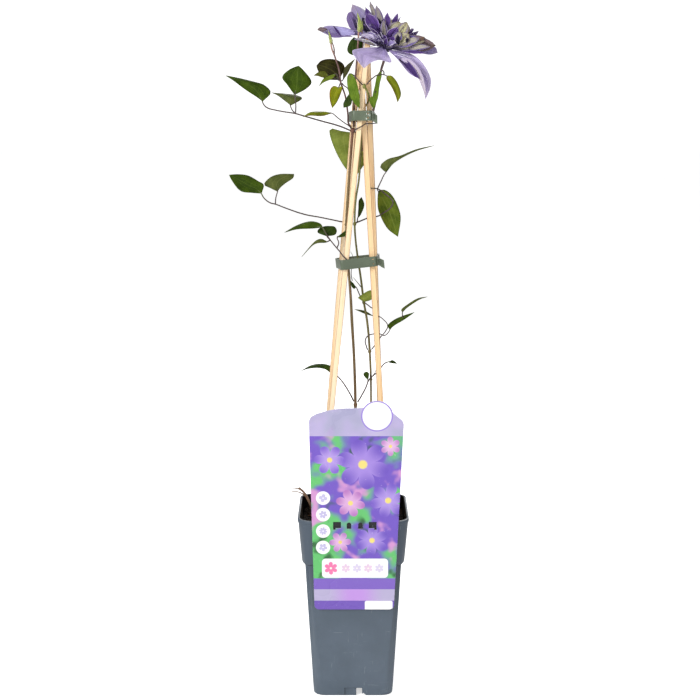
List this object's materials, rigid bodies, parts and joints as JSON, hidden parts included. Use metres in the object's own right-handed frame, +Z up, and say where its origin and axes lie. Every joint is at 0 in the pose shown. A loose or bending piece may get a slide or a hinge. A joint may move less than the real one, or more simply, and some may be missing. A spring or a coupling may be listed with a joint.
{
  "type": "potted climbing plant on a cane trellis",
  "caption": "Square tapered pot of soil with a climbing clematis tied to a slender pyramid of canes by plastic clips, with leafy sprays, buds, an open bloom and a blank die-cut label.",
  "frame": {"origin": "middle of the pot's underside, where it stands", "axes": "+Z up along the plant, +X to the right of the label, -Y towards the label's front"},
  "size_m": [0.2228, 0.1398, 0.7495],
  "materials": {
    "pot_plastic": "satin moulded plastic",
    "clip_plastic": "satin moulded plastic",
    "label_film": "printed plastic sheet",
    "cane_wood": "bare sawn cane",
    "stem_bark": "dry bark",
    "soil": "dark potting soil",
    "leaves": "leaf",
    "bud": "bud",
    "petals": "petal"
  },
  "bodies": {
    "root": {"bloom": "petals", "bloom_stalk": "stem_bark", "bud_centre": "bud", "bud_left": "bud", "cane_back_left": "cane_wood", "cane_back_right": "cane_wood", "cane_front_left": "cane_wood", "cane_front_right": "cane_wood", "clip_lower": "clip_plastic", "clip_upper": "clip_plastic", "dry_root_twig": "stem_bark", "label": "label_film", "leaf_behind_bloom": "leaves", "leaf_behind_canes": "leaves", "leaf_dark_right": "leaves", "leaf_narrow_left": "leaves", "leaf_thin_left": "leaves", "leaf_yellow": "leaves", "pot": "pot_plastic", "soil": "soil", "spray_base_left": "leaves", "spray_base_right": "leaves", "spray_bud_cluster": "leaves", "spray_low_left": "leaves", "spray_lower_loop": "leaves", "spray_lower_right": "leaves", "spray_mid_left": "leaves", "spray_right": "leaves", "spray_top_centre": "leaves", "spray_top_left": "leaves", "spray_top_right": "leaves", "spray_upper_loop": "leaves", "spray_upper_small": "leaves", "stem_a": "stem_bark", "stem_b": "stem_bark", "tendril_upper_right": "leaves"}
  },
  "joints": []
}
